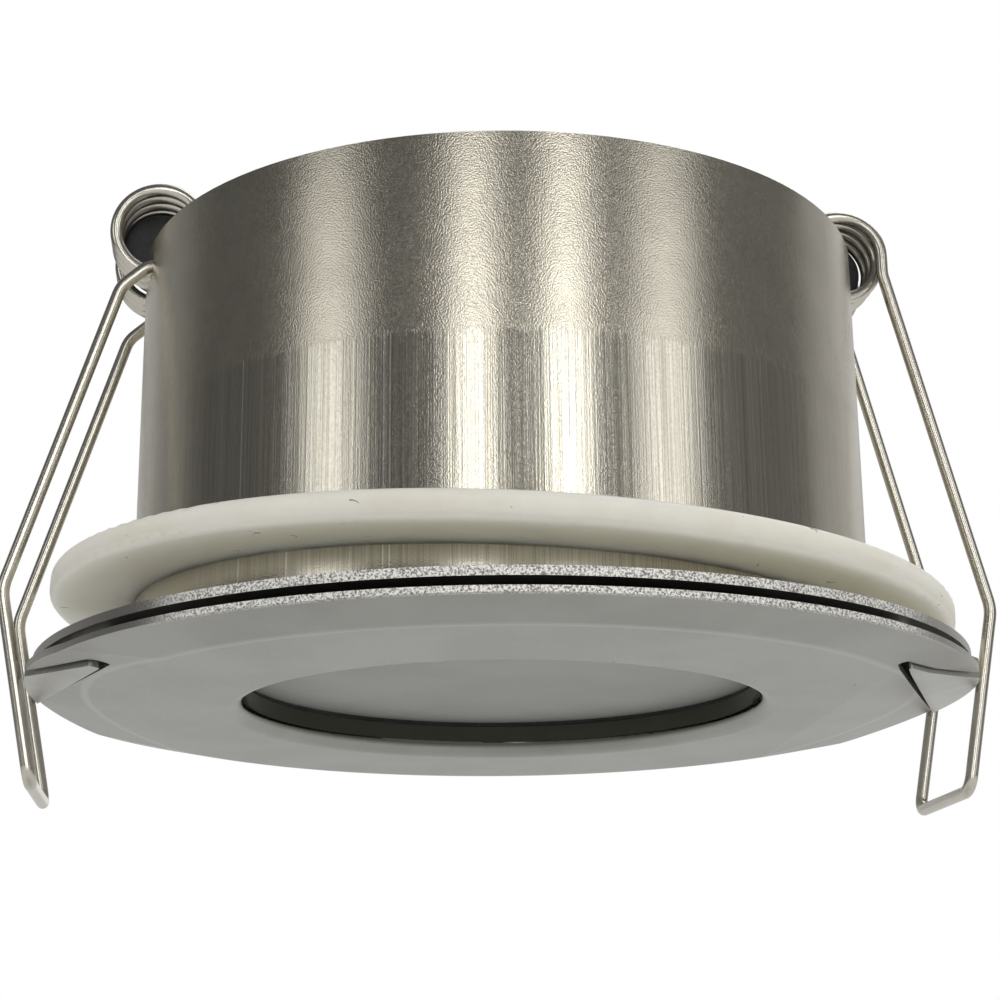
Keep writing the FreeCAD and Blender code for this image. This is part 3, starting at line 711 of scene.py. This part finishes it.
plainFinishes = {
    # slot: dark tone, light tone, metallic, smoothest, roughest, grain in mm, blotch in mm, relief in mm
    "fastener_steel": ((0.52, 0.52, 0.51), (0.62, 0.62, 0.61), 1.0, 0.30, 0.38, 0.16, 5.0, 0.0012),
    "white_plastic": ((0.80, 0.80, 0.78), (0.90, 0.90, 0.88), 0.0, 0.45, 0.55, 0.20, 9.0, 0.006),
    "white_board": ((0.78, 0.80, 0.79), (0.88, 0.90, 0.88), 0.0, 0.30, 0.42, 0.15, 6.0, 0.004),
    "led_phosphor": ((0.86, 0.62, 0.14), (0.94, 0.78, 0.30), 0.0, 0.18, 0.30, 0.10, 1.0, 0.010),
    "grey_pad": ((0.44, 0.45, 0.47), (0.54, 0.55, 0.57), 0.0, 0.70, 0.85, 0.25, 4.0, 0.020),
    "green_board": ((0.03, 0.17, 0.07), (0.07, 0.26, 0.12), 0.0, 0.28, 0.40, 0.12, 3.0, 0.008),
    "green_plastic": ((0.08, 0.34, 0.16), (0.14, 0.44, 0.23), 0.0, 0.38, 0.50, 0.20, 3.0, 0.008),
    "screw_brass": ((0.62, 0.47, 0.20), (0.80, 0.66, 0.36), 1.0, 0.24, 0.36, 0.12, 1.5, 0.006),
    "capacitor_sleeve": ((0.03, 0.04, 0.06), (0.07, 0.08, 0.11), 0.0, 0.22, 0.34, 0.30, 3.0, 0.006),
    "ferrite": ((0.10, 0.10, 0.11), (0.19, 0.19, 0.20), 0.0, 0.62, 0.80, 0.18, 2.0, 0.020),
    "lead_jacket": ((0.52, 0.03, 0.02), (0.70, 0.08, 0.05), 0.0, 0.40, 0.52, 0.25, 2.0, 0.010),
    "gland_nylon": ((0.020, 0.020, 0.022), (0.050, 0.050, 0.054), 0.0, 0.34, 0.50, 0.28, 4.0, 0.016),
    "black_rubber": ((0.018, 0.018, 0.019), (0.045, 0.045, 0.047), 0.0, 0.60, 0.75, 0.35, 3.0, 0.024),
}


def makePlainFinish(slot):
    # two tones, grain and relief
    dark, light, metallic, smooth, rough, grainSize, blotchSize, relief = plainFinishes[slot]
    material, tree, shader = newMaterial(slot, light, metallic, rough)
    parts = useGrain(tree, objectPlace(tree), grainSize * millimetre, blotchSize * millimetre)
    mottle = share(tree, parts["Grain"], plainGrainShare, parts["Blotch"])
    tree.links.new(blend(tree, mottle, dark, light), shader.inputs["Base Color"])
    tree.links.new(between(tree, parts["Blotch"], smooth, rough), shader.inputs["Roughness"])
    addBump(tree, shader, parts["Grain"], relief * millimetre)
    return material


def paintNodes():
    made = {
        "can_steel": makeCanSteel(canSteel),
        "bezel_steel": makeBezelSteel(bezelSteel),
        "spring_steel": makeSpringSteel(springSteel),
        "silicone": makeSilicone(silicone),
        "frosted_glass": makeFrostedGlass(frostedGlass),
        "turned_aluminium": makeTurnedAluminium(turnedAluminium),
    }
    for slot in plainFinishes:
        made[slot] = makePlainFinish(slot)
    for part in frame["record"]["subparts"]:
        node = nodes[part["node"]]
        node.data.materials.clear()
        node.data.materials.append(made[part["material_slot"]])
    print("materials ready:", len(made))
    return made


windingShadePlug = {
    "radius": 0.00345,
    "length": 0.0050,
    "segments": 48,
    "rounding": 0.0004,
    "roundingSteps": 3,
    "place": (0.034, 0.0, 0.0426),      # the right winding's middle; the left one mirrors it
    "level": 1e-6,              # an edge whose ends differ less than this in y is on an end face
}


def makeWindingShadePlug(name, side, look, material):
    # a dark plug along Y inside the winding, put there as painted shade for the coil's dark inside
    x, y, z = look["place"]
    lying = Matrix.Translation((side * x, y, z)) @ Matrix.Rotation(math.radians(90), 4, "X")
    shape = bmesh.new()
    bmesh.ops.create_cone(shape, cap_ends=True, segments=look["segments"], radius1=look["radius"],
                          radius2=look["radius"], depth=look["length"], matrix=lying)
    ends = [edge for edge in shape.edges if abs(edge.verts[0].co.y - edge.verts[1].co.y) < look["level"]]
    bmesh.ops.bevel(shape, geom=ends, affect="EDGES", offset=look["rounding"],
                    segments=look["roundingSteps"], profile=0.5, material=-1)
    bmesh.ops.recalc_face_normals(shape, faces=shape.faces)
    shadePlug = objectFromShape(name, shape, material)
    shadePlug.data.shade_smooth()
    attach(shadePlug, "housing")
    print("bush ready:", name)


finishes = paintNodes()
# dark plugs that stand in for the shade inside the windings
makeWindingShadePlug("left_winding_shade_plug", -1, windingShadePlug, finishes["black_rubber"])
makeWindingShadePlug("right_winding_shade_plug", 1, windingShadePlug, finishes["black_rubber"])
